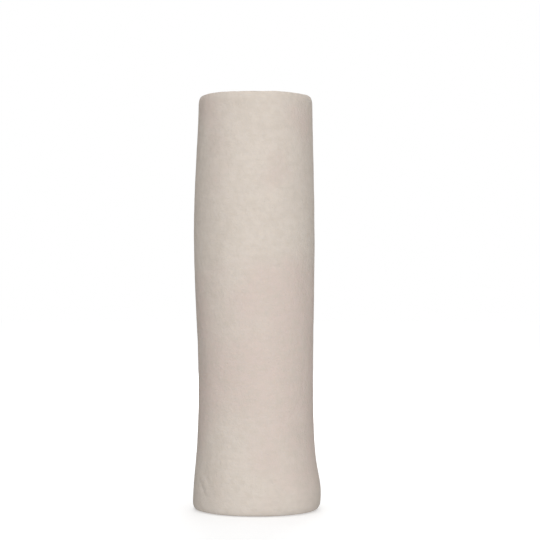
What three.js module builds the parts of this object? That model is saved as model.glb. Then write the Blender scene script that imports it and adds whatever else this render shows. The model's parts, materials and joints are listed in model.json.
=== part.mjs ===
// A roll of cotton quilt batting, standing on its end. One long strip, folded in half along its length, is wound
// on itself from a small eye at the middle to a loose end on the outside. Every turn shows as a rounded ridge at
// the upper end, where the fold lies. The lower end stands flat, and the roll has slumped a little at its foot.
// Millimetres, +Z up. The origin is at the middle of the foot, and -Y is the front.

import * as THREE from "three";

// Driving dimensions.
const rollHeight = 1219; // the batting is 2438 wide before it is folded in half
const rollRadius = 173; // at the loose end, before the roll settles
const layerThickness = 4.2; // the folded batting, two plies, as tightly as it is wound
const windings = 39; // turns from the eye to the loose end, which take 22.8 m of batting

// The loose end is a straight cut down the back of the roll. Angles run anticlockwise from +X, seen from above.
// There is a whole number of turns, so the strip starts at the same angle inside the eye.
const looseEndAngle = THREE.MathUtils.degToRad(118);

// The upper end: ridges of folded cloth with grooves between them, and how far the fold wanders up and down.
const grooveDepth = 3;
const eyeDepth = 26;
const wanders = [
  { height: 1.5, wavelength: 830, phase: 0.4 },
  { height: 0.9, wavelength: 371, phase: 2.1 },
];
const wanderReach = 80; // how far below the fold the cloth still follows it

// How the outer turns lean in and fall away at the two rims, where the roll was drawn together.
const upperRim = { depth: 24, leanIn: 6, fall: 1, startsAt: 0.8 };
const lowerRim = { depth: 22, leanIn: 9, fall: 2.5, startsAt: 0.9 };
const leanPower = 4; // how quickly the lean fades from the outer turns to the inner ones

// The foot spreads under the roll's own weight, most of all to the right.
const foot = { height: 50, reach: 85, spread: 9.5, spreadToRight: 6 };

// The girth swells and narrows up the roll, and the roll is neither quite straight nor quite round.
const girth = { swell: 5.5, crestHeight: 815, wavelength: 900 };
const outOfRound = [
  { swell: 2.4, lobes: 1, turn: -1.43, twistLength: 1100 },
  { swell: 1.6, lobes: 2, turn: 0.6, twistLength: 2600 },
  { swell: 1.0, lobes: 3, turn: 2.2, twistLength: -1900 },
  { swell: 0.6, lobes: 5, turn: 4.0, twistLength: 900 },
];

// Soft troughs in the outer turns: where each lies, half its width and half its length, and how it leans.
const dents = [
  { name: "foot crease", angle: -67, height: 88, halfWidth: 15, halfLength: 40, lean: 52, depth: 2.6 },
  { name: "foot band", angle: -100, height: 190, halfWidth: 20, halfLength: 80, lean: 86, depth: 1.2 },
  { name: "waist press", angle: -72, height: 716, halfWidth: 26, halfLength: 60, lean: 78, depth: 1.6 },
  { name: "right hollow", angle: -33, height: 660, halfWidth: 34, halfLength: 95, lean: 12, depth: 2.4 },
  { name: "left hollow", angle: -139, height: 1080, halfWidth: 30, halfLength: 70, lean: -20, depth: 2.2 },
  { name: "left press", angle: -158, height: 470, halfWidth: 38, halfLength: 150, lean: 6, depth: 2.6 },
  { name: "back hollow", angle: 62, height: 890, halfWidth: 46, halfLength: 130, lean: -24, depth: 3.0 },
  { name: "back press", angle: 168, height: 820, halfWidth: 30, halfLength: 110, lean: 18, depth: 2.6 },
  { name: "back crease", angle: 86, height: 300, halfWidth: 24, halfLength: 120, lean: 63, depth: 2.4 },
  { name: "right press", angle: 18, height: 330, halfWidth: 36, halfLength: 140, lean: -14, depth: 2.8 },
];

// How finely the curved surfaces are cut into flat faces.
const chord = 20;
const fewestSteps = 12;
const mostSteps = 54;
const rimRows = 5;
const sideRows = 21;

const eyeRadius = rollRadius - windings * layerThickness;
const wholeTurn = 2 * Math.PI;
const clamp = THREE.MathUtils.clamp;
const smoothstep = THREE.MathUtils.smoothstep;

// The winding: how far out the strip's inner face lies once it has turned by this much, and how much of the strip
// is wound by then.
const windingRadius = (turned) => eyeRadius + (layerThickness * turned) / wholeTurn;
const woundLength = (turned) => eyeRadius * turned + (layerThickness * turned * turned) / (2 * wholeTurn);

// How far the fold lies above or below the roll's height at this place along the strip.
function wander(length) {
  return wanders.reduce(
    (sum, w) => sum + w.height * Math.sin((wholeTurn * length) / w.wavelength + w.phase),
    0,
  );
}

// 0 where a rim starts, 1 at the very end of the roll.
const upperRimShare = (height) => clamp((height - rollHeight + upperRim.depth) / upperRim.depth, 0, 1);
const lowerRimShare = (height) => clamp((lowerRim.depth - height) / lowerRim.depth, 0, 1);
const quarterRound = (share) => 1 - Math.sqrt(1 - share * share);

// How far a rim falls away from the end of the roll.
function fallOf(rim, rimShare, outward) {
  const beyond = Math.max(0, (outward - rim.startsAt) / (1 - rim.startsAt));
  return rim.fall * beyond * beyond * smoothstep(rimShare, 0, 1);
}

// How deep the soft troughs are at this place on the outside.
function dentDepth(angle, height) {
  return dents.reduce((sum, dent) => {
    const turned = angle - THREE.MathUtils.degToRad(dent.angle);
    const across = rollRadius * Math.atan2(Math.sin(turned), Math.cos(turned));
    const up = height - dent.height;
    const lean = THREE.MathUtils.degToRad(dent.lean);
    const beside = across * Math.cos(lean) + up * Math.sin(lean);
    const along = up * Math.cos(lean) - across * Math.sin(lean);
    return sum + dent.depth * Math.exp(-((beside / dent.halfWidth) ** 2) - (along / dent.halfLength) ** 2);
  }, 0);
}

// Where a point of the evenly wound roll lies once the roll has settled.
function settled(angle, radius, height) {
  const outward = Math.min(1, radius / rollRadius);
  const upper = upperRimShare(height);
  const lower = lowerRimShare(height);
  const footShare = Math.exp(-(((height - foot.height) / foot.reach) ** 2));
  const lobes = outOfRound.reduce(
    (sum, o) => sum + o.swell * Math.cos(o.lobes * angle + o.turn + (wholeTurn * height) / o.twistLength),
    0,
  );
  const swell =
    girth.swell * Math.cos((wholeTurn * (height - girth.crestHeight)) / girth.wavelength) +
    lobes +
    footShare * (foot.spread + foot.spreadToRight * Math.cos(angle)) -
    dentDepth(angle, height);
  const lean = upperRim.leanIn * upper ** 2 + lowerRim.leanIn * quarterRound(lower);
  const reach = radius + swell * outward ** 2 - lean * outward ** leanPower;
  const level = height - fallOf(upperRim, upper, outward) + fallOf(lowerRim, lower, outward);
  return [reach * Math.cos(angle), reach * Math.sin(angle), level];
}

// The mesh, as it grows: three numbers for each vertex, and three vertices for each face.
const vertices = [];
const faces = [];
function addVertex(point) {
  vertices.push(...point);
  return vertices.length / 3 - 1;
}

// The turns of the winding where it is cut into steps, more of them further out.
function stepsOf(firstTurn, lastTurn) {
  const turned = [];
  for (let turn = firstTurn; turn < lastTurn; turn++) {
    const round = wholeTurn * windingRadius(wholeTurn * turn);
    const steps = clamp(Math.round(round / chord), fewestSteps, mostSteps);
    for (let step = 0; step < steps; step++) turned.push(wholeTurn * (turn + step / steps));
  }
  turned.push(wholeTurn * lastTurn);
  return turned;
}

// A line along the winding: out is how far through the strip it runs, and below how far under its fold.
function lineAlong(turns, out, below) {
  return turns.map((turned) => {
    const height = rollHeight - below + wander(woundLength(turned));
    const radius = windingRadius(turned) + out * layerThickness;
    return { turned, vertex: addVertex(settled(turned + looseEndAngle, radius, height)) };
  });
}

// Joins two lines along the winding with faces that look upwards. The outer line starts shift further round.
function zip(inner, outer, shift) {
  let i = 0;
  let o = 0;
  while (i < inner.length - 1 || o < outer.length - 1) {
    const nextInner = i < inner.length - 1 ? inner[i + 1].turned : Infinity;
    const nextOuter = o < outer.length - 1 ? outer[o + 1].turned - shift : Infinity;
    if (nextOuter <= nextInner) {
      faces.push(inner[i].vertex, outer[o].vertex, outer[o + 1].vertex);
      o += 1;
    } else {
      faces.push(inner[i].vertex, outer[o].vertex, inner[i + 1].vertex);
      i += 1;
    }
  }
}

// Joins two closed rings of as many vertices with faces that look outwards.
function band(lower, upper) {
  lower.forEach((low, i) => {
    const next = (i + 1) % lower.length;
    faces.push(low, lower[next], upper[next], low, upper[next], upper[i]);
  });
}

// Closes a ring with faces that meet at one vertex. The ring runs anticlockwise as seen from the outside.
function fan(ring, middle) {
  ring.forEach((vertex, i) => faces.push(vertex, ring[(i + 1) % ring.length], middle));
}

// The upper end. The last groove line is the outside edge of the roll.
const grooves = lineAlong(stepsOf(0, windings + 1), 0, grooveDepth);
const crests = lineAlong(stepsOf(0, windings), 0.5, 0);
const isWithin = (first, last) => (line) =>
  line.turned >= wholeTurn * first - 1e-9 && line.turned <= wholeTurn * last + 1e-9;
zip(grooves.filter(isWithin(0, windings)), crests, 0);
zip(crests, grooves.filter(isWithin(1, windings + 1)), wholeTurn);

// The eye at the middle, with the start of the strip as a small step in its wall.
const eyeRing = grooves.filter(isWithin(0, 1));
const eyeFloor = addVertex([0, 0, rollHeight - eyeDepth]);
faces.push(eyeRing.at(0).vertex, eyeRing.at(-1).vertex, crests[0].vertex);
fan(eyeRing.map((line) => line.vertex), eyeFloor);

// The outside, from its edge at the upper end down to the foot. The loose end is a step one layer high, and its
// middle is a vertex of its own. Near the fold, the cloth follows the fold's wander.
const outside = grooves.filter(isWithin(windings, windings + 1));
const looseEnd = wholeTurn * windings;
function ringAt(height, outward) {
  const follows = clamp((height - rollHeight) / wanderReach + 1, 0, 1);
  const at = (turned, radius) => {
    const level = height + follows * wander(woundLength(turned));
    return addVertex(settled(turned + looseEndAngle, radius * outward, level));
  };
  const ring = outside.map(({ turned }) => at(turned, windingRadius(turned)));
  ring.push(at(looseEnd, windingRadius(looseEnd) + layerThickness / 2));
  return ring;
}
const shares = Array.from({ length: rimRows - 1 }, (_, row) => (row + 1) / rimRows);
const rimHeights = (rim, end) =>
  shares.map((share) => end + (rim.depth - end) * (1 - Math.sin((share * Math.PI) / 2)));
const sideLow = lowerRim.depth;
const sideHigh = rollHeight - upperRim.depth;
const heights = [
  0,
  ...rimHeights(lowerRim, 0).reverse(),
  ...Array.from({ length: sideRows + 1 }, (_, row) => sideLow + ((sideHigh - sideLow) * row) / sideRows),
  ...rimHeights(upperRim, grooveDepth).map((below) => rollHeight - below),
];
const edge = [...outside.map((line) => line.vertex), crests.at(-1).vertex];
const rings = [...heights.map((height) => ringAt(height, 1)), edge];
for (let row = 1; row < rings.length; row++) band(rings[row - 1], rings[row]);

// The foot: a lip that rises to the outside, round a flat face that the roll stands on.
const lip = ringAt(0, (lowerRim.startsAt * rollRadius) / (rollRadius + layerThickness));
band(lip, rings[0]);
fan(lip.toReversed(), addVertex([0, 0, 0]));

const geometry = new THREE.BufferGeometry();
geometry.setAttribute("position", new THREE.Float32BufferAttribute(vertices, 3));
geometry.setIndex(faces);

// The origin goes to the middle of the foot.
geometry.computeBoundingBox();
const middle = geometry.boundingBox.getCenter(new THREE.Vector3());
geometry.translate(-middle.x, -middle.y, 0);
geometry.computeVertexNormals();

const batting = new THREE.MeshStandardMaterial({ color: 0xd5cbc1, roughness: 1, metalness: 0 });
const roll = new THREE.Mesh(geometry, batting);
roll.name = "batting_roll";

const part = new THREE.Group();
part.add(roll);

export default part;
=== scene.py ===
"""A roll of cotton quilt batting, standing on its end.

One long strip, folded in half along its length, is wound on itself from a small eye at the middle to a
loose end at the back. The winding is a node tree that sweeps the folded strip's section along a spiral. What
the roll does under its own weight is a rule that moves every point, and the solid follows the same rule.
"""

import json
import math
from collections import namedtuple

import bmesh
import bpy
import numpy as np
from bpy.props import FloatProperty, FloatVectorProperty, IntProperty, PointerProperty
from bpy.types import Operator, Panel, PropertyGroup
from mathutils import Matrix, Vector

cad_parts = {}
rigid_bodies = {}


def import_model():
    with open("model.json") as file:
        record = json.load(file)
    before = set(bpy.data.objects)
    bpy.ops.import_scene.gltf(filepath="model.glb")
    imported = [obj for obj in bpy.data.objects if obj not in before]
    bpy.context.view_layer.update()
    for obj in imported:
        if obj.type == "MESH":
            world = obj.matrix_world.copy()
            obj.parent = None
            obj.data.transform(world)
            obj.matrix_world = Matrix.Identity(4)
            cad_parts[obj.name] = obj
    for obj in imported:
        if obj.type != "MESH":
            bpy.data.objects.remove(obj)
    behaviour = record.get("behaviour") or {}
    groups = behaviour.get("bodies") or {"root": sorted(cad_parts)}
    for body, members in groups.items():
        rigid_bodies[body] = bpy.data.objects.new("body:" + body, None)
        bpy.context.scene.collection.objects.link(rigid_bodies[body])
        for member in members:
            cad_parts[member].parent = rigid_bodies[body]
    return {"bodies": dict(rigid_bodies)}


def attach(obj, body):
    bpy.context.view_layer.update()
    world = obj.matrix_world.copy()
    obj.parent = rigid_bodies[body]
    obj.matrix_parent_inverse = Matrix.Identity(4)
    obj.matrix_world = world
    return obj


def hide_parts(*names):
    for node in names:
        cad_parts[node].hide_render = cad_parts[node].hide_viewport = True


bl_info = {
    "name": "Roll of Quilt Batting",
    "version": (1, 0, 0),
    "blender": (4, 5, 0),
    "location": "3D View > Sidebar > Batting",
    "description": "Winds a strip of folded batting into a roll, finishes it and lights it",
    "category": "Object",
}

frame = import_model()

SOLID = "batting_roll"
BODY = next(iter(frame["bodies"]))
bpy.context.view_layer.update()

# How the roll settles, in metres and with the solid's own values. A rim leans in and falls away from its end.
Rim = namedtuple("Rim", "depth lean_in fall starts_at")
UPPER_RIM = Rim(depth=0.024, lean_in=0.006, fall=0.001, starts_at=0.8)
LOWER_RIM = Rim(depth=0.022, lean_in=0.009, fall=0.0025, starts_at=0.9)
LEAN_POWER = 4

Foot = namedtuple("Foot", "height reach spread spread_to_right")
FOOT = Foot(height=0.05, reach=0.085, spread=0.0095, spread_to_right=0.006)

Girth = namedtuple("Girth", "swell crest_height wavelength")
GIRTH = Girth(swell=0.0055, crest_height=0.815, wavelength=0.9)

Lobes = namedtuple("Lobes", "swell count turn twist_length")
OUT_OF_ROUND = [
    Lobes(swell=0.0024, count=1, turn=-1.43, twist_length=1.1),
    Lobes(swell=0.0016, count=2, turn=0.6, twist_length=2.6),
    Lobes(swell=0.001, count=3, turn=2.2, twist_length=-1.9),
    Lobes(swell=0.0006, count=5, turn=4.0, twist_length=0.9),
]

Wander = namedtuple("Wander", "height wavelength phase")
WANDERS = [
    Wander(height=0.0015, wavelength=0.83, phase=0.4),
    Wander(height=0.0009, wavelength=0.371, phase=2.1),
]

# How far down from the folded edge its wander reaches.
WANDER_REACH = 0.08

# Soft troughs on the outside. Angles and leans are in degrees, sizes in millimetres.
Dent = namedtuple("Dent", "name angle height half_width half_length lean depth")
DENTS = [
    Dent("foot crease", -67, 88, 15, 40, 52, 2.6),
    Dent("foot band", -100, 190, 20, 80, 86, 1.2),
    Dent("waist press", -72, 716, 26, 60, 78, 1.6),
    Dent("right hollow", -33, 660, 34, 95, 12, 2.4),
    Dent("left hollow", -139, 1080, 30, 70, -20, 2.2),
    Dent("left press", -158, 470, 38, 150, 6, 2.6),
    Dent("back hollow", 62, 890, 46, 130, -24, 3.0),
    Dent("back press", 168, 820, 30, 110, 18, 2.6),
    Dent("back crease", 86, 300, 24, 120, 63, 2.4),
    Dent("right press", 18, 330, 36, 140, -14, 2.8),
]

# Finer creases, which only the cloth has.
CREASES = [
    Dent("foot line", -71, 93, 5.5, 22, 47, 2.8),
    Dent("foot line beside it", -62, 70, 5.5, 16, 56, 1.7),
    Dent("left foot fold", -147, 70, 6, 28, 40, 2.4),
    Dent("left foot fold above", -140, 98, 5.5, 18, 52, 1.7),
    Dent("waist line", -69, 718, 5.5, 20, 64, 1.5),
    Dent("waist mark", -93, 735, 6.5, 14, 8, 1.2),
    Dent("left waist line", -133, 702, 5.5, 26, 80, 1.4),
    Dent("back line", 84, 304, 6, 34, 60, 1.1),
    Dent("back foot fold", 44, 74, 6, 26, -48, 1.9),
    Dent("right line", 10, 560, 6, 30, -66, 1.4),
]

# Where the cotton is rosiest: round the waist, and more so to the right. Each reaches this far up and down.
RosyPlace = namedtuple("RosyPlace", "height reach strength")
ROSY_WAIST = RosyPlace(height=0.42, reach=0.36, strength=0.32)
ROSY_RIGHT = RosyPlace(height=0.5, reach=0.45, strength=0.7)

# How much of the cloth's lumps a hidden turn's fold takes on.
CROWN_SHOWS = 0.4

# The folded strip's lower end: where each ply's cut edge is lowest, where it turns up into the slit between
# the plies, and its wall of the slit. These are shares of the way through the strip. The height is in metres.
CutEdge = namedtuple("CutEdge", "lowest corner slit_wall")
INNER_EDGE = CutEdge(lowest=0.2, corner=0.46, slit_wall=0.485)
OUTER_EDGE = CutEdge(lowest=0.8, corner=0.54, slit_wall=0.515)
CORNER_HEIGHT = 0.0008

# How the loose end wavers up the roll: its noise's scale and detail, and how far the seed moves it along.
Waver = namedtuple("Waver", "scale detail seed_shift strength")
LIFT_WAVER = Waver(scale=5.0, detail=1.0, seed_shift=3.1, strength=2.4)
PLY_STEP_WAVER = Waver(scale=6.0, detail=2.0, seed_shift=1.0, strength=1.6)
CUT_WAVER = Waver(scale=3.5, detail=3.0, seed_shift=2.3, strength=2.8)
FOLD_SEED_SHIFT = 1.7

# A face that turns more sharply than this has a sharp edge.
SHARP_ANGLE = math.radians(60)

# The cotton's patterns, each with its noise's scale and detail.
Pattern = namedtuple("Pattern", "scale detail")
CLOUDS = Pattern(scale=5.0, detail=3.0)
WEB = Pattern(scale=55.0, detail=4.0)
DRIFT = Pattern(scale=13.0, detail=2.0)
FIBRE = Pattern(scale=520.0, detail=4.0)
STREAKS = Pattern(scale=80.0, detail=3.0)
NAP = Pattern(scale=140.0, detail=3.0)
NEEDLE_SCALE = 380.0

# How ripples are drawn out round the roll, and streaks along the cloth.
RIPPLE_STRETCH = (0.28, 0.28, 1.0)
STREAK_STRETCH = (0.14, 1.0, 1.0)

# The specks' pattern: its scale, a speck's full and faded radius in it, and the share of places without one.
Specks = namedtuple("Specks", "scale full faded clear_share strength")
SPECKS = Specks(scale=85.0, full=0.05, faded=0.085, clear_share=0.93, strength=0.55)

# What the cotton's shader has all over.
NEEDLED_COTTON = {
    "Roughness": 0.95,
    "Specular IOR Level": 0.08,
    "Sheen Weight": 0.06,
    "Sheen Tint": (1.0, 0.86, 0.7, 1),
    "Sheen Roughness": 0.6,
    "Subsurface Weight": 0.08,
    "Subsurface Radius": (1.0, 0.8, 0.6),
    "Subsurface Scale": 0.004,
}

# How far the floor and the surround reach from the roll.
STAGE_REACH = 18.0


class RollSizes(PropertyGroup):
    """The sizes of the roll. The defaults are the solid's."""

    height: FloatProperty(
        name="Height", description="From the foot to the folded edge", default=1.219, unit="LENGTH"
    )
    radius: FloatProperty(
        name="Radius", description="Inner face of the loose end", default=0.173, unit="LENGTH"
    )
    layer: FloatProperty(
        name="Layer", description="Room that one turn of folded batting takes", default=0.0042, unit="LENGTH"
    )
    windings: IntProperty(name="Turns", description="Turns from the eye to the loose end", default=39)
    loose_end: FloatProperty(
        name="Loose End",
        description="Angle of the loose end, anticlockwise from +X",
        default=math.radians(118),
        subtype="ANGLE",
    )
    fold_height: FloatProperty(
        name="Fold Height", description="Height of the rounded fold", default=0.003, unit="LENGTH"
    )
    outer_turns: FloatProperty(
        name="Outer Turns", description="Turns at the end that are modelled finely", default=1.08
    )
    covered_turns: FloatProperty(
        name="Covered Turns", description="Turns just under them, which follow the roll's shape", default=2.92
    )
    seed: IntProperty(name="Seed", description="Starts every random pattern", default=7)


class RollFinish(PropertyGroup):
    """The colours and the surface of the batting."""

    cotton: FloatVectorProperty(
        name="Cotton", description="Colour of the batting", subtype="COLOR", default=(0.672, 0.603, 0.539)
    )
    blush: FloatVectorProperty(
        name="Blush", description="Rosier cotton, in clouds", subtype="COLOR", default=(0.652, 0.549, 0.498)
    )
    shade: FloatVectorProperty(
        name="Shade", description="Thinner places", subtype="COLOR", default=(0.6, 0.535, 0.47)
    )
    fleck: FloatVectorProperty(
        name="Fleck", description="Specks of seed husk", subtype="COLOR", default=(0.25, 0.17, 0.1)
    )


class StudioSettings(PropertyGroup):
    """The light, the floor and the camera."""

    distance: FloatProperty(
        name="Distance", description="From the camera to the roll's axis", default=5.0, unit="LENGTH"
    )
    eye_level: FloatProperty(
        name="Eye Level", description="Height of the camera", default=0.7063, unit="LENGTH"
    )
    aside: FloatProperty(
        name="Aside", description="How far right of the roll the camera stands", default=0.039, unit="LENGTH"
    )
    lens: FloatProperty(name="Lens", description="Focal length in millimetres", default=112.53)
    key: FloatProperty(name="Key", description="Strength of the front light", default=0.65)
    back: FloatProperty(name="Back", description="Strength of the back light", default=0.42)
    overhead: FloatProperty(name="Overhead", description="Strength of the light above", default=0.6)
    ambient: FloatProperty(name="Ambient", description="Light from all round", default=0.4)


class Field:
    """A socket of a node tree that takes part in sums as a number does."""

    def __init__(self, tree, socket):
        self.tree = tree
        self.socket = socket

    def math(self, operation, *others):
        """What this operation gives for the field and the others."""
        node = self.tree.nodes.new("ShaderNodeMath")
        node.operation = operation
        for socket, value in zip(node.inputs, (self, *others)):
            feed(self.tree, socket, value)
        return Field(self.tree, node.outputs[0])

    def __add__(self, other):
        return self.math("ADD", other)

    __radd__ = __add__

    def __mul__(self, other):
        return self.math("MULTIPLY", other)

    def __sub__(self, other):
        return self.math("SUBTRACT", other)

    def __rsub__(self, other):
        return self * -1 + other

    def __truediv__(self, other):
        return self.math("DIVIDE", other)

    def __pow__(self, other):
        return self.math("POWER", other)


def feed(tree, socket, value):
    """Links a field or a socket to this socket, or sets the socket's own value."""
    if isinstance(value, Field):
        value = value.socket
    if isinstance(value, bpy.types.NodeSocket):
        tree.links.new(value, socket)
    else:
        socket.default_value = value


def add(tree, kind, settings=None, **inputs):
    """A new node, with these settings, and inputs named as their sockets are with _ for a space."""
    node = tree.nodes.new(kind)
    for name, value in (settings or {}).items():
        setattr(node, name, value)
    for name, value in inputs.items():
        feed(tree, node.inputs[name.replace("_", " ")], value)
    return node


def new_tree(name, sockets):
    """A geometry tree with these named inputs, and the fields that they give."""
    tree = bpy.data.node_groups.new(name, "GeometryNodeTree")
    for label, kind in sockets.items():
        tree.interface.new_socket(label, in_out="INPUT", socket_type=f"NodeSocket{kind}")
    tree.interface.new_socket("Geometry", in_out="OUTPUT", socket_type="NodeSocketGeometry")
    entry = tree.nodes.new("NodeGroupInput")
    return tree, {label: Field(tree, entry.outputs[label]) for label in sockets}


def noise(tree, scale, detail, place):
    """Noise from -0.5 to 0.5. The place is a point in space, or a field for a place along a line."""
    on_line = isinstance(place, Field)
    node = add(tree, "ShaderNodeTexNoise", {"noise_dimensions": "1D" if on_line else "3D"})
    for label, value in (("Scale", scale), ("Detail", detail), ("W" if on_line else "Vector", place)):
        feed(tree, node.inputs[label], value)
    return Field(tree, node.outputs[0]) - 0.5


def ramp(tree, field, low, high, start=0.0, end=1.0):
    """A soft step from start to end, while the field goes from low to high."""
    settings = {"interpolation_type": "SMOOTHSTEP"}
    limits = {"From_Min": low, "From_Max": high, "To_Min": start, "To_Max": end}
    return Field(tree, add(tree, "ShaderNodeMapRange", settings, Value=field, **limits).outputs[0])


def stretched(tree, vector, factors):
    """The vector with its parts multiplied by these, which draws out a pattern on it."""
    node = add(tree, "ShaderNodeVectorMath", {"operation": "MULTIPLY"})
    feed(tree, node.inputs[0], vector)
    node.inputs[1].default_value = factors
    return node.outputs[0]


def captured(tree, geometry, field, kind):
    """The geometry with the field fixed to its points, and the fixed field."""
    node = tree.nodes.new("GeometryNodeCaptureAttribute")
    node.capture_items.new(kind, "Value")
    feed(tree, node.inputs[0], geometry)
    feed(tree, node.inputs[1], field)
    return node.outputs[0], Field(tree, node.outputs[1])


# The named inputs of the tree that winds the strip. Lengths are in metres, and scales are the noises' own.
WOUND_STRIP = {
    "Section": "Object",
    "Eye Radius": "Float",
    "Layer": "Float",
    "First Turn": "Float",
    "Last Turn": "Float",
    "Loose End": "Float",
    "Steps": "Int",
    "Step Growth": "Float",
    "Slack": "Float",
    "Slack Scale": "Float",
    "Fold Waver": "Float",
    "Fold Waver Scale": "Float",
    "Lump Depth": "Float",
    "Lump Scale": "Float",
    "Ripple Depth": "Float",
    "Ripple Scale": "Float",
    "End Lift": "Float",
    "End Lift Length": "Float",
    "Ply Step": "Float",
    "Height": "Float",
    "Seed": "Float",
    "Material": "Material",
}

# What is known at each point of the sweep: how far round the spiral it is in radians, the spiral's radius
# there, the length of strip wound so far, the share of the way out through the strip, the height on the
# strip, and how much of the face shows.
StripPoint = namedtuple("StripPoint", "turned radius length out level shows")


def spiral_curve(tree, given, per_radian):
    """The spiral's steps as a curve, with how far each has turned. They lengthen from the eye outwards."""
    eye, layer, growth = given["Eye Radius"], given["Layer"], given["Step Growth"]
    line = add(tree, "GeometryNodeMeshLine", Count=given["Steps"] + 1, Offset=(0.01, 0, 0))
    index = Field(tree, tree.nodes.new("GeometryNodeInputIndex").outputs[0])
    inner = (eye + layer * given["First Turn"]) ** growth
    outer = (eye + layer * given["Last Turn"]) ** growth
    radius = (inner + index / given["Steps"] * (outer - inner)) ** growth**-1
    curve = add(tree, "GeometryNodeMeshToCurve", Mesh=line.outputs[0])
    return captured(tree, curve.outputs[0], (radius - eye) / per_radian, "FLOAT")


def section_curve(tree, section):
    """The section's outline as a curve, with the three parts of each of its points."""
    outline = add(tree, "GeometryNodeObjectInfo", Object=section)
    curve = add(tree, "GeometryNodeMeshToCurve", Mesh=outline.outputs["Geometry"])
    here = tree.nodes.new("GeometryNodeInputPosition").outputs[0]
    curve, place = captured(tree, curve.outputs[0], here, "VECTOR")
    parts = add(tree, "ShaderNodeSeparateXYZ", Vector=place)
    return curve, [Field(tree, part) for part in parts.outputs]


def wound_place(tree, given, point):
    """Where each point lies: its angle, its distance from the axis and its height.

    Near its loose end the strip lifts off the turn under it, and its outer ply is cut back a little further.
    """
    seed = given["Seed"]

    def wavering(waver):
        along = point.level + seed * waver.seed_shift
        return noise(tree, waver.scale, waver.detail, along) * waver.strength

    to_end = (given["Last Turn"] * 2 * math.pi) - point.turned
    nearness = (1 - to_end * point.radius / given["End Lift Length"]).math("MAXIMUM", 0.0)
    lift = given["End Lift"] * nearness * nearness * (1 + wavering(LIFT_WAVER))
    slack = noise(tree, given["Slack Scale"], detail=1.0, place=point.length + seed)
    fullness = 1 - given["Slack"] * (1 + slack)
    radius = point.radius + given["Layer"] * point.out * fullness + lift

    # From 0 on the inner ply to 1 on the outer one, with a short blend at the fold.
    outer_ply = (point.out * 8 - 3.5).math("MAXIMUM", 0.0).math("MINIMUM", 1.0)
    cut_back = outer_ply * given["Ply Step"] * (1 + wavering(PLY_STEP_WAVER))
    cut_waver = given["Ply Step"] * wavering(CUT_WAVER)
    angle = point.turned + given["Loose End"] - nearness * nearness * (cut_back + cut_waver) / radius

    atop = ((point.level - given["Height"]) / WANDER_REACH + 1).math("MAXIMUM", 0.0)
    along = point.length + seed * FOLD_SEED_SHIFT
    fold = noise(tree, given["Fold Waver Scale"], detail=2.0, place=along)
    waver = given["Fold Waver"] * 2 * atop * fold
    place = add(
        tree,
        "ShaderNodeCombineXYZ",
        X=radius * angle.math("COSINE"),
        Y=radius * angle.math("SINE"),
        Z=point.level + waver,
    )
    return place.outputs[0]


def lump_offset(tree, given, shows):
    """Soft lumps, and ripples that run round the roll, where the cloth shows."""
    place = tree.nodes.new("GeometryNodeInputPosition").outputs[0]
    lumps = given["Lump Depth"] * 2 * noise(tree, given["Lump Scale"], detail=4.0, place=place)
    drawn_round = stretched(tree, place, RIPPLE_STRETCH)
    ripples = given["Ripple Depth"] * 2 * noise(tree, given["Ripple Scale"], detail=1.0, place=drawn_round)
    outwards = tree.nodes.new("GeometryNodeInputNormal").outputs[0]
    offset = add(tree, "ShaderNodeVectorMath", {"operation": "SCALE"}, Scale=(lumps + ripples) * shows)
    feed(tree, offset.inputs[0], outwards)
    return offset.outputs[0]


def mapped(tree, geometry, point, width):
    """The geometry with the length wound at each point, and with the cloth's own map.

    The map is in metres along the strip, and in metres across it from one cut edge to the other.
    """
    on_outer_ply = point.out.math("GREATER_THAN", 0.5)
    across = point.level * on_outer_ply + (width * 2 - point.level) * (1 - on_outer_ply)
    flat = add(tree, "ShaderNodeCombineXYZ", X=point.length, Y=across).outputs[0]
    for name, data_type, domain, value in (
        ("cloth", "FLOAT2", "CORNER", flat),
        ("length", "FLOAT", "POINT", point.length),
    ):
        stored = add(
            tree,
            "GeometryNodeStoreNamedAttribute",
            {"data_type": data_type, "domain": domain},
            Geometry=geometry,
            Name=name,
            Value=value,
        )
        geometry = stored.outputs[0]
    return geometry


def wound_strip_tree():
    """Sweeps the folded strip's section along a spiral, between two of its turns.

    The section's X is the share of the way out through the strip, its Y is the height, and its Z is how much
    of the face shows, which is where the cloth's lumps are raised.
    """
    tree, given = new_tree("Wound Strip", WOUND_STRIP)
    eye = given["Eye Radius"]
    per_radian = given["Layer"] / (2 * math.pi)
    spiral, turned = spiral_curve(tree, given, per_radian)
    section, (out, level, shows) = section_curve(tree, given["Section"])
    length = eye * turned + per_radian * turned * turned / 2
    point = StripPoint(turned, eye + per_radian * turned, length, out, level, shows)

    inside_out = add(tree, "GeometryNodeCurveToMesh", Curve=spiral, Profile_Curve=section)
    sweep = add(tree, "GeometryNodeFlipFaces", Mesh=inside_out.outputs[0])
    place = wound_place(tree, given, point)
    wound = add(tree, "GeometryNodeSetPosition", Geometry=sweep.outputs[0], Position=place)
    lumps = lump_offset(tree, given, shows)
    raised = add(tree, "GeometryNodeSetPosition", Geometry=wound.outputs[0], Offset=lumps)
    cloth = mapped(tree, raised.outputs[0], point, given["Height"])
    smooth = add(tree, "GeometryNodeSetShadeSmooth", Geometry=cloth)
    finish(tree, smooth.outputs[0], given["Material"])
    return tree


def finish(tree, geometry, material):
    """Ends the tree: makes its instances real and sets the material."""
    real = add(tree, "GeometryNodeRealizeInstances", Geometry=geometry)
    dressed = add(tree, "GeometryNodeSetMaterial", Geometry=real.outputs[0], Material=material)
    exit_node = tree.nodes.new("NodeGroupOutput")
    tree.links.new(dressed.outputs[0], exit_node.inputs[0])


def placed(name, data):
    """A new object in the scene."""
    made = bpy.data.objects.new(name, data)
    bpy.context.scene.collection.objects.link(made)
    return made


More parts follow.
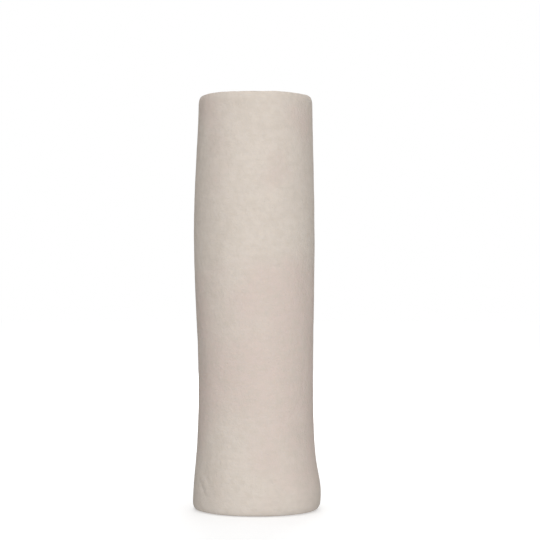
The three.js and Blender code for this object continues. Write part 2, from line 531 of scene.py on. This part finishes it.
def grown(name, tree, inputs):
    """An object whose plain mesh is what the tree makes from these inputs."""
    holder = placed(name, bpy.data.meshes.new(name))
    modifier = holder.modifiers.new(tree.name, "NODES")
    modifier.node_group = tree
    identifiers = {item.name: item.identifier for item in tree.interface.items_tree if item.in_out == "INPUT"}
    for label, value in inputs.items():
        modifier[identifiers[label]] = value
    evaluated = holder.evaluated_get(bpy.context.evaluated_depsgraph_get())
    mesh = bpy.data.meshes.new_from_object(evaluated)
    holder.modifiers.remove(modifier)
    holder.data = mesh
    mesh.name = name
    return holder


def line_object(name, points):
    """A closed line of edges through these points."""
    mesh = bpy.data.meshes.new(name)
    edges = [(i, (i + 1) % len(points)) for i in range(len(points))]
    mesh.from_pydata(points, edges, [])
    return placed(name, mesh)


# The outline of the folded strip, seen along it: its points, and the numbers of the point at the fold's crown
# and of the slit's lowest points on either side.
Section = namedtuple("Section", "points crown inner_slit outer_slit")


def strip_section(sizes, outer_rows, inner_rows, slit_rows, fold_steps, shows):
    """The section of the strip, with points on its faces and in its slit at these heights.

    The outline runs up the outer face, over the fold and down the inner face, then round the two cut edges
    with the slit between the plies.
    """
    shoulder = sizes.height - sizes.fold_height
    points = [(1, row, shows) for row in outer_rows]
    for step in range(fold_steps + 1):
        turn = math.pi * step / fold_steps
        on_crown = shows * (1 + math.cos(turn)) / 2 + CROWN_SHOWS * math.sin(turn)
        points.append((0.5 + 0.5 * math.cos(turn), shoulder + sizes.fold_height * math.sin(turn), on_crown))
    points += [(0, row, 0) for row in reversed(inner_rows)]
    points += [(INNER_EDGE.lowest, 0, 0), (INNER_EDGE.corner, CORNER_HEIGHT, 0)]
    inner_slit = len(points)
    points += [(INNER_EDGE.slit_wall, row, 0) for row in slit_rows]
    points += [(OUTER_EDGE.slit_wall, row, 0) for row in reversed(slit_rows)]
    outer_slit = len(points) - 1
    points += [(OUTER_EDGE.corner, CORNER_HEIGHT, 0), (OUTER_EDGE.lowest, 0, 0)]
    return Section(points, len(outer_rows) + fold_steps // 2, inner_slit, outer_slit)


def ply_end(face, slit, heights):
    """Triangles that close the end of one ply, from its cut edge up, between its face and the slit."""
    triangles = []
    while len(face) > 1 or len(slit) > 1:
        if len(slit) == 1 or (len(face) > 1 and heights[face[1]] <= heights[slit[1]]):
            triangles.append((face[0], face[1], slit[0]))
            face = face[1:]
        else:
            triangles.append((face[0], slit[1], slit[0]))
            slit = slit[1:]
    return triangles


def close_ends(mesh, section):
    """Closes both ends of a swept strip. No triangle reaches past the next row, so the ends can be bent."""
    heights = [level for _, level, _ in section.points]
    slit_top = (section.inner_slit + section.outer_slit) // 2
    outer_face = [*range(section.outer_slit + 1, len(heights)), *range(section.crown + 1)]
    inner_face = [*range(section.inner_slit - 1, section.crown - 1, -1)]
    outer_ply = ply_end(outer_face, [*range(section.outer_slit, slit_top, -1)], heights)
    inner_ply = ply_end(inner_face, [*range(section.inner_slit, slit_top + 1)], heights)
    triangles = [*outer_ply, (section.crown, slit_top, slit_top + 1), *(ends[::-1] for ends in inner_ply)]

    work = bmesh.new()
    work.from_mesh(mesh)
    work.verts.ensure_lookup_table()
    cloth = work.loops.layers.uv["cloth"]
    for first, way in ((0, 1), (len(work.verts) - len(heights), -1)):
        for triangle in triangles:
            face = work.faces.new([work.verts[first + point] for point in triangle][::way])
            face.smooth = True
            for corner in face.loops:
                corner[cloth].uv = corner.vert.link_loops[0][cloth].uv
    work.to_mesh(mesh)
    work.free()


def hidden_rows(sizes):
    """Heights of points up a face that doesn't show. They are closer together where the foot curves."""
    spacing = 0.05
    near_foot = [0.0006, 0.006, 0.014, 0.03, 0.05, 0.07, 0.09, 0.11, 0.13, 0.155, 0.185, 0.22, 0.26, 0.3]
    above = np.arange(near_foot[-1] + spacing, sizes.height - 0.035, spacing)
    return [*near_foot, *above.tolist(), sizes.height - 0.03, sizes.height - 0.012]


def smooth_step(share):
    """A share from 0 to 1, eased at both ends."""
    share = np.clip(share, 0, 1)
    return share * share * (3 - 2 * share)


def dent_depth(angle, height, radius):
    """How deep the soft troughs are at these places on the outside."""
    depth = np.zeros_like(angle)
    for dent in (*DENTS, *CREASES):
        turned = angle - math.radians(dent.angle)
        across = radius * np.arctan2(np.sin(turned), np.cos(turned)) * 1000
        up = height * 1000 - dent.height
        lean = math.radians(dent.lean)
        beside = (across * math.cos(lean) + up * math.sin(lean)) / dent.half_width
        along = (up * math.cos(lean) - across * math.sin(lean)) / dent.half_length
        depth += dent.depth / 1000 * np.exp(-(beside**2) - along**2)
    return depth


def settled(points, roll_height, roll_radius):
    """Where points of the evenly wound roll lie once it has settled, before the roll is centred."""
    x, y, height = points.T
    angle, radius = np.arctan2(y, x), np.hypot(x, y)
    outward = np.minimum(1, radius / roll_radius)
    upper = np.clip((height - roll_height + UPPER_RIM.depth) / UPPER_RIM.depth, 0, 1)
    lower = np.clip((LOWER_RIM.depth - height) / LOWER_RIM.depth, 0, 1)
    swell = GIRTH.swell * np.cos(2 * math.pi * (height - GIRTH.crest_height) / GIRTH.wavelength)
    for lobe in OUT_OF_ROUND:
        twist = 2 * math.pi * height / lobe.twist_length
        swell += lobe.swell * np.cos(lobe.count * angle + lobe.turn + twist)
    foot_share = np.exp(-(((height - FOOT.height) / FOOT.reach) ** 2))
    swell += foot_share * (FOOT.spread + FOOT.spread_to_right * np.cos(angle))
    swell -= dent_depth(angle, height, roll_radius)
    lean = UPPER_RIM.lean_in * upper**2 + LOWER_RIM.lean_in * (1 - np.sqrt(1 - lower**2))
    reach = radius + swell * outward**2 - lean * outward**LEAN_POWER
    level = height.copy()
    for rim, share, way in ((UPPER_RIM, upper, -1), (LOWER_RIM, lower, 1)):
        beyond = np.maximum(0, (outward - rim.starts_at) / (1 - rim.starts_at))
        level += way * rim.fall * beyond**2 * smooth_step(share)
    return np.stack([reach * np.cos(angle), reach * np.sin(angle), level], axis=1)


def settle(piece, sizes):
    """Moves a piece of the evenly wound roll to where it lies in the settled one."""
    mesh = piece.data
    points = np.empty(len(mesh.vertices) * 3)
    mesh.vertices.foreach_get("co", points)
    points = points.reshape(-1, 3)
    length = np.empty(len(mesh.vertices))
    mesh.attributes["length"].data.foreach_get("value", length)
    atop = np.clip((points[:, 2] - sizes.height) / WANDER_REACH + 1, 0, 1)
    for wander in WANDERS:
        points[:, 2] += atop * wander.height * np.sin(2 * math.pi * length / wander.wavelength + wander.phase)
    points = settled(points, sizes.height, sizes.radius) - middle_of_outside(sizes)
    points[:, 2] = np.maximum(points[:, 2], 0)
    mesh.vertices.foreach_set("co", points.ravel())
    mesh.attributes.remove(mesh.attributes["length"])
    mesh.set_sharp_from_angle(angle=SHARP_ANGLE)
    mesh.update()


def middle_of_outside(sizes):
    """The middle of the settled roll's outside, which the solid has at its origin."""
    turns = np.linspace(0, 1, num=180)
    heights = np.linspace(0, sizes.height, num=240)
    share, height = (grid.ravel() for grid in np.meshgrid(turns, heights))
    angle = 2 * math.pi * share + sizes.loose_end
    radius = sizes.radius + sizes.layer * share
    even = np.stack([radius * np.cos(angle), radius * np.sin(angle), height], axis=1)
    outside = settled(even, sizes.height, sizes.radius)
    middle = (outside.min(axis=0) + outside.max(axis=0)) / 2
    return np.array([middle[0], middle[1], 0])


def rgba(colour):
    """The colour with full cover."""
    return (*colour, 1)


def blended(tree, lower, upper, share):
    """One colour with this share of another laid over it."""
    mix = add(tree, "ShaderNodeMix", {"data_type": "RGBA"})
    for socket, value in zip((mix.inputs[0], mix.inputs[6], mix.inputs[7]), (share, lower, upper)):
        feed(tree, socket, value)
    return mix.outputs[2]


def rosiness(tree, where):
    """How rosy the cotton is: in clouds, round the waist and to the right."""
    parts = add(tree, "ShaderNodeSeparateXYZ", Vector=where)
    x, _, height = (Field(tree, part) for part in parts.outputs)

    def near(place):
        away = (height - place.height) / place.reach
        return (1 - away * away).math("MAXIMUM", 0.0) * place.strength

    clouds = noise(tree, *CLOUDS, where)
    return ramp(tree, clouds + near(ROSY_WAIST) + x * near(ROSY_RIGHT), 0.0, 0.32)


def speckle(tree, where):
    """How much of the few specks of husk there is."""
    specks = add(tree, "ShaderNodeTexVoronoi", Vector=where, Scale=SPECKS.scale)
    chance = add(tree, "ShaderNodeSeparateColor", Color=specks.outputs["Color"])
    close_by = ramp(tree, specks.outputs["Distance"], SPECKS.faded, SPECKS.full)
    chosen = Field(tree, chance.outputs[0]).math("GREATER_THAN", SPECKS.clear_share)
    return close_by * chosen * SPECKS.strength


def batting_finish(colours):
    """Needled cotton: matte, softly clouded, with a fine nap, needle marks and a few specks of husk."""
    material = bpy.data.materials.new("needled_cotton")
    material.use_nodes = True
    tree = material.node_tree
    shader = tree.nodes["Principled BSDF"]
    for label, value in NEEDLED_COTTON.items():
        shader.inputs[label].default_value = value
    where = tree.nodes.new("ShaderNodeTexCoord").outputs["Object"]
    cloth = add(tree, "ShaderNodeUVMap", {"uv_map": "cloth"}).outputs[0]

    # The web is thinner in some places than in others, and its fibres lie mostly along the strip.
    web = noise(tree, *WEB, where)
    fibre = noise(tree, *FIBRE, where)
    streaks = noise(tree, *STREAKS, stretched(tree, cloth, STREAK_STRETCH))
    thickness = web + noise(tree, *DRIFT, where) * 0.5 + streaks * 0.5 + fibre * 0.5
    thin = ramp(tree, thickness, -0.3, 0.45)
    colour = blended(tree, rgba(colours.cotton), rgba(colours.blush), rosiness(tree, where))
    colour = blended(tree, colour, rgba(colours.shade), thin * 0.85)
    colour = blended(tree, colour, rgba(colours.fleck), speckle(tree, where))
    tree.links.new(colour, shader.inputs["Base Color"])

    needles = add(tree, "ShaderNodeTexVoronoi", Vector=cloth, Scale=NEEDLE_SCALE)
    marks = ramp(tree, needles.outputs["Distance"], 0.0, 0.45)
    height = marks * 0.35 + fibre * 1.2 + noise(tree, *NAP, where) * 1.8 + web * 2.5
    bump = add(tree, "ShaderNodeBump", Strength=0.6, Distance=0.0012, Height=height)
    tree.links.new(bump.outputs[0], shader.inputs["Normal"])
    return material


def finished_batting():
    """The batting's material, made once."""
    return bpy.data.materials.get("needled_cotton") or batting_finish(bpy.context.scene.batting_finish)


def wound_length(sizes, turns):
    """How much of the strip is wound after this many turns, along the middle of its thickness."""
    eye = sizes.radius - sizes.windings * sizes.layer
    turned = 2 * math.pi * turns
    return (eye + sizes.layer / 2) * turned + sizes.layer * turned**2 / (4 * math.pi)


def wind(name, first_turn, last_turn, section, inputs):
    """A piece of the strip, wound between two turns, settled and riding on the roll's body."""
    sizes = bpy.context.scene.batting_roll
    outline = line_object(f"{name}_section", section.points)
    tree = bpy.data.node_groups.get("Wound Strip") or wound_strip_tree()
    piece = grown(
        name,
        tree,
        {
            "Section": outline,
            "Eye Radius": sizes.radius - sizes.windings * sizes.layer,
            "Layer": sizes.layer,
            "First Turn": first_turn,
            "Last Turn": last_turn,
            "Loose End": sizes.loose_end,
            "Step Growth": 1.5,
            "Slack Scale": 9.0,
            "Fold Waver": 0.003,
            "Fold Waver Scale": 7.0,
            "Height": sizes.height,
            "Seed": float(sizes.seed),
            "Material": finished_batting(),
            **inputs,
        },
    )
    bpy.data.objects.remove(outline)
    close_ends(piece.data, section)
    settle(piece, sizes)
    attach(piece, BODY)
    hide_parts(SOLID)
    length = wound_length(sizes, last_turn) - wound_length(sizes, first_turn)
    2 * sizes.height


class BATTING_OT_inner_turns(Operator):
    """Winds the turns inside the roll, whose folds show at the upper end"""

    bl_idname = "batting.inner_turns"
    bl_label = "Wind Inner Turns"

    def execute(self, context):
        sizes = context.scene.batting_roll
        rows = [0.0006, 0.03, 0.1, 0.2, 0.65, sizes.height - 0.03, sizes.height - 0.012]
        wind(
            "inner_turns",
            0.0,
            sizes.windings - sizes.outer_turns - sizes.covered_turns,
            strip_section(sizes, rows, rows, rows[2::2], fold_steps=6, shows=0),
            {"Steps": 3000, "Slack": 0.08, "Lump Depth": 0.0005, "Lump Scale": 60.0},
        )
        return {"FINISHED"}


class BATTING_OT_covered_turns(Operator):
    """Winds the turns that lie just under the outer one and take the same shape"""

    bl_idname = "batting.covered_turns"
    bl_label = "Wind Covered Turns"

    def execute(self, context):
        sizes = context.scene.batting_roll
        rows = hidden_rows(sizes)
        last_turn = sizes.windings - sizes.outer_turns
        wind(
            "covered_turns",
            last_turn - sizes.covered_turns,
            last_turn,
            strip_section(sizes, rows, rows, rows, fold_steps=8, shows=0),
            {"Steps": 560, "Slack": 0.16, "Lump Depth": 0.0005, "Lump Scale": 60.0},
        )
        return {"FINISHED"}


class BATTING_OT_outer_turn(Operator):
    """Winds the last turn, whose face is the outside of the roll, and its loose end"""

    bl_idname = "batting.outer_turn"
    bl_label = "Wind Outer Turn"

    def execute(self, context):
        sizes = context.scene.batting_roll
        near_foot = [0.0006, 0.003, 0.006, 0.01, 0.015, 0.02, 0.025]
        near_top = [sizes.height - depth for depth in (0.0255, 0.022, 0.018, 0.014, 0.01, 0.0065)]
        sides = np.linspace(0.03, sizes.height - 0.03, 245).tolist()
        rows = hidden_rows(sizes)
        wind(
            "outer_turn",
            sizes.windings - sizes.outer_turns,
            float(sizes.windings),
            strip_section(sizes, [*near_foot, *sides, *near_top], rows, rows, fold_steps=8, shows=1),
            {
                "Steps": 255,
                "Slack": 0.04,
                "Lump Depth": 0.0011,
                "Lump Scale": 11.0,
                "Ripple Depth": 0.0007,
                "Ripple Scale": 14.0,
                "End Lift": 0.003,
                "End Lift Length": 0.09,
                "Ply Step": 0.007,
            },
        )
        return {"FINISHED"}


def glowing(name, colour, glow):
    """A matte stage material that also glows, so that it stays pale."""
    material = bpy.data.materials.new(name)
    material.use_nodes = True
    shader = material.node_tree.nodes["Principled BSDF"]
    shader.inputs["Base Color"].default_value = (*colour, 1)
    shader.inputs["Roughness"].default_value = 1.0
    shader.inputs["Specular IOR Level"].default_value = 0.0
    shader.inputs["Emission Color"].default_value = (1, 1, 1, 1)
    shader.inputs["Emission Strength"].default_value = glow
    return material


def brighten_outwards(tree, far_glow):
    """Lets the floor's glow grow from its own strength, near the roll and its lights, to this one far off."""
    strength = tree.nodes["Principled BSDF"].inputs["Emission Strength"]
    where = tree.nodes.new("ShaderNodeTexCoord").outputs["Object"]
    distance = add(tree, "ShaderNodeVectorMath", {"operation": "LENGTH"})
    feed(tree, distance.inputs[0], where)
    near_by, far_off = 0.8, 3.4
    glow = ramp(tree, distance.outputs["Value"], near_by, far_off, strength.default_value, far_glow)
    feed(tree, strength, glow)


def floor_mesh():
    """A wide round floor."""
    mesh = bpy.data.meshes.new("floor")
    turns = np.linspace(0, 2 * math.pi, 96, endpoint=False)
    rim = [(STAGE_REACH * math.cos(turn), STAGE_REACH * math.sin(turn), 0) for turn in turns]
    mesh.from_pydata(rim, [], [list(range(len(rim)))])
    return mesh


def surround_mesh():
    """A ball round the whole stage."""
    mesh = bpy.data.meshes.new("surround")
    work = bmesh.new()
    bmesh.ops.create_uvsphere(work, u_segments=48, v_segments=24, radius=STAGE_REACH)
    work.to_mesh(mesh)
    work.free()
    return mesh


def stage_piece(mesh, material):
    """Puts up a part of the stage that is seen but throws no light back on the roll."""
    mesh.materials.append(material)
    piece = placed(mesh.name, mesh)
    piece.visible_diffuse = False
    piece.visible_glossy = False
    piece.visible_shadow = False


def soft_box(name, strength, place, size, target):
    """Sets up a large soft light that gives this share of full daylight at the target."""
    data = bpy.data.lights.new(name, "AREA")
    data.size = size
    towards = Vector(target) - Vector(place)
    data.energy = strength * math.pi**2 * towards.length_squared
    lamp = placed(name, data)
    lamp.location = place
    lamp.rotation_euler = towards.to_track_quat("-Z", "Y").to_euler()
    lamp.visible_camera = False


def white_world(strength):
    """Even light from all round."""
    world = bpy.data.worlds.new("studio")
    world.use_nodes = True
    background = world.node_tree.nodes["Background"]
    background.inputs["Color"].default_value = (1, 1, 1, 1)
    background.inputs["Strength"].default_value = strength
    return world


def level_camera(studio):
    """The camera, which looks level at the roll from the front."""
    data = bpy.data.cameras.new("camera")
    data.lens = studio.lens
    data.sensor_width = 36.0
    camera = placed("camera", data)
    camera.location = (studio.aside, -studio.distance, studio.eye_level)
    camera.rotation_euler = (math.pi / 2, 0, 0)
    return camera


class BATTING_OT_studio(Operator):
    """Lays a pale floor in a white surround, and sets the lights and the camera"""

    bl_idname = "batting.studio"
    bl_label = "Set Up Studio"

    def execute(self, context):
        scene = context.scene
        studio = scene.batting_studio
        pale = glowing("pale_floor", (0.8, 0.8, 0.8), glow=0.36)
        brighten_outwards(pale.node_tree, far_glow=0.68)
        stage_piece(floor_mesh(), pale)
        stage_piece(surround_mesh(), glowing("white_surround", (0, 0, 0), glow=1.0))

        middle = (0, 0, scene.batting_roll.height / 2)
        soft_box("key", studio.key, place=(0.5, -6.0, 0.55), size=3.0, target=middle)
        soft_box("back", studio.back, place=(0.4, 6.0, 2.6), size=3.0, target=middle)
        soft_box("overhead", studio.overhead, place=(0.0, 0.0, 5.0), size=6.0, target=middle)
        scene.world = white_world(studio.ambient)
        scene.camera = level_camera(studio)
        scene.view_settings.view_transform = "Standard"
        return {"FINISHED"}


class BATTING_PT_roll(Panel):
    """Lists the roll's sizes, its pieces and the studio"""

    bl_label = "Batting Roll"
    bl_space_type = "VIEW_3D"
    bl_region_type = "UI"
    bl_category = "Batting"

    def draw(self, context):
        layout = self.layout
        for name, settings in SETTINGS.items():
            column = layout.column(align=True)
            for label in settings.__annotations__:
                column.prop(getattr(context.scene, name), label)
        for operator in OPERATORS:
            layout.operator(operator.bl_idname)


SETTINGS = {"batting_roll": RollSizes, "batting_finish": RollFinish, "batting_studio": StudioSettings}
OPERATORS = (BATTING_OT_inner_turns, BATTING_OT_covered_turns, BATTING_OT_outer_turn, BATTING_OT_studio)
CLASSES = (*SETTINGS.values(), *OPERATORS, BATTING_PT_roll)


def register():
    """Makes the classes and their settings known."""
    for made in CLASSES:
        bpy.utils.register_class(made)
    for name, settings in SETTINGS.items():
        setattr(bpy.types.Scene, name, PointerProperty(type=settings))


def unregister():
    """Takes back what register made known."""
    for name in SETTINGS:
        delattr(bpy.types.Scene, name)
    for made in reversed(CLASSES):
        bpy.utils.unregister_class(made)


def main():
    """Builds the roll and its stage."""
    register()
    bpy.ops.batting.inner_turns()
    bpy.ops.batting.covered_turns()
    bpy.ops.batting.outer_turn()
    bpy.ops.batting.studio()


if __name__ == "__main__":
    main()
